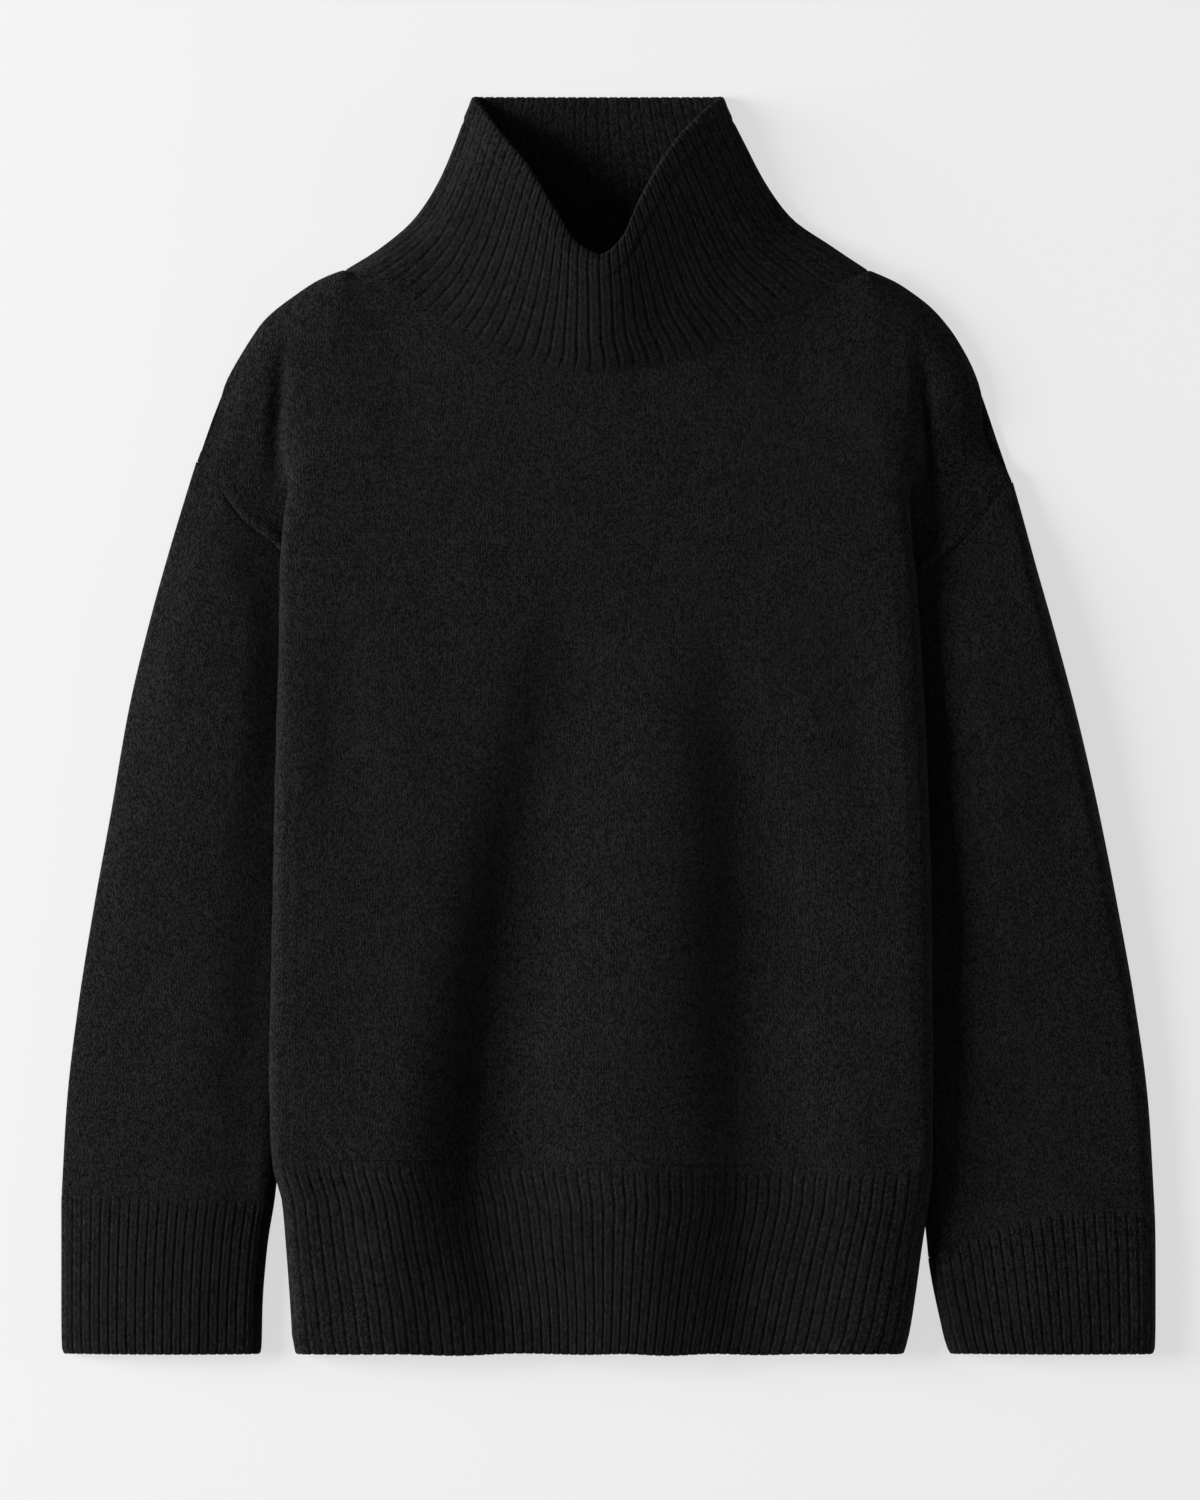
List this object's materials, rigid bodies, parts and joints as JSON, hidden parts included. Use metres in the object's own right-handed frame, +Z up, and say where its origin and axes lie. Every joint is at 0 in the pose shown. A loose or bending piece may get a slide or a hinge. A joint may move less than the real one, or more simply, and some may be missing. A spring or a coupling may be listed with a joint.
{
  "type": "turtleneck sweater",
  "caption": "Oversized turtleneck sweater in near-black plain knit, laid flat: ribbed funnel collar open in a V, drop shoulders, wide sleeves, deep ribbed hem and cuffs.",
  "frame": {"origin": "centre of the bounding box's underside, on the surface that the sweater lies on", "axes": "+Z up off the surface, +Y from hem to collar, +X toward the wearer's left sleeve (right in the picture)"},
  "size_m": [0.6557, 0.7525, 0.0379],
  "materials": {
    "knit_plain": "soft brushed plain knit, near black",
    "knit_rib": "soft 2 by 2 rib knit, near black"
  },
  "bodies": {
    "root": {"front_panel": "knit_plain", "back_panel": "knit_plain", "sleeve_right": "knit_plain", "sleeve_left": "knit_plain", "cuff_right": "knit_rib", "cuff_left": "knit_rib", "hem_rib": "knit_rib", "collar": "knit_rib"}
  },
  "joints": []
}
